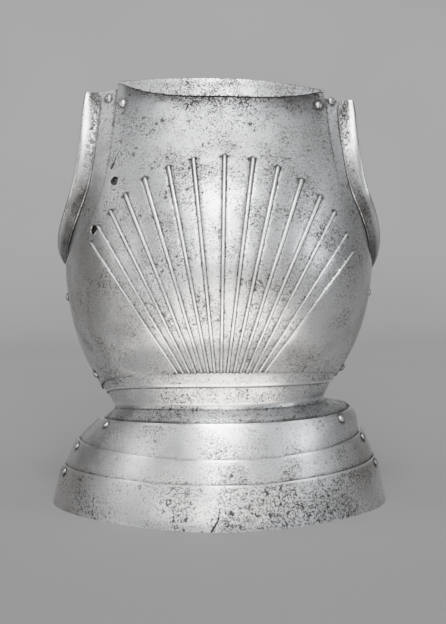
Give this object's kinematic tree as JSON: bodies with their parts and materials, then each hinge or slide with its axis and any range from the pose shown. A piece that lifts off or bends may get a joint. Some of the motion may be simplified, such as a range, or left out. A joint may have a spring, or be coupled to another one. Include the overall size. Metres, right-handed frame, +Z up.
{
  "type": "cuirass breastplate",
  "caption": "Globose steel breastplate with a fan of raised flutes, turned neck and arm edges, riveted arm gussets, a waist plate and a flared fauld of overlapping lames.",
  "frame": {"origin": "middle of the footprint, at the height of the fauld's rim, which stands on the ground", "axes": "+Z up, the chest faces -Y, +X towards the wearer's left"},
  "size_m": [0.3716, 0.1738, 0.4596],
  "materials": {
    "breast_steel": "polished, finely pitted and lightly tarnished",
    "gusset_steel": "polished, with darker worn turns",
    "waist_steel": "polished, bluish grey where it turns under the fauld",
    "lame_steel": "polished, more heavily pitted towards the rim",
    "rivet_steel": "dark worn iron"
  },
  "bodies": {
    "cuirass": {"breast_plate": "breast_steel", "arm_gusset_right": "gusset_steel", "arm_gusset_left": "gusset_steel", "waist_plate": "waist_steel", "gusset_rivet_right": "rivet_steel", "gusset_rivet_left": "rivet_steel", "shoulder_rivet_right": "rivet_steel", "shoulder_rivet_left": "rivet_steel", "side_rivet_right": "rivet_steel", "side_rivet_left": "rivet_steel", "waist_rivet_right": "rivet_steel", "waist_rivet_left": "rivet_steel"},
    "fauld_1": {"fauld_lame_1": "lame_steel", "fauld_1_rivet_right": "rivet_steel", "fauld_1_rivet_left": "rivet_steel"},
    "fauld_2": {"fauld_lame_2": "lame_steel", "fauld_2_rivet_right": "rivet_steel", "fauld_2_rivet_left": "rivet_steel"},
    "fauld_3": {"fauld_lame_3": "lame_steel", "fauld_3_rivet_right": "rivet_steel", "fauld_3_rivet_left": "rivet_steel"}
  },
  "joints": [
    {"name": "fauld_1_swing", "type": "hinge", "parent": "cuirass", "child": "fauld_1", "pos_m": [0.00175, 0.01896, 0.09759], "axis": [-0.9984, 0.0487, -0.0271], "range_deg": [0, 4]},
    {"name": "fauld_2_swing", "type": "hinge", "parent": "fauld_1", "child": "fauld_2", "pos_m": [-0.00076, 0.04428, 0.07095], "axis": [-0.9996, 0.0077, -0.026], "range_deg": [0, 4]},
    {"name": "fauld_3_swing", "type": "hinge", "parent": "fauld_2", "child": "fauld_3", "pos_m": [-0.00026, 0.04626, 0.04224], "axis": [-0.9998, 0.0004, -0.0201], "range_deg": [0, 4]}
  ]
}
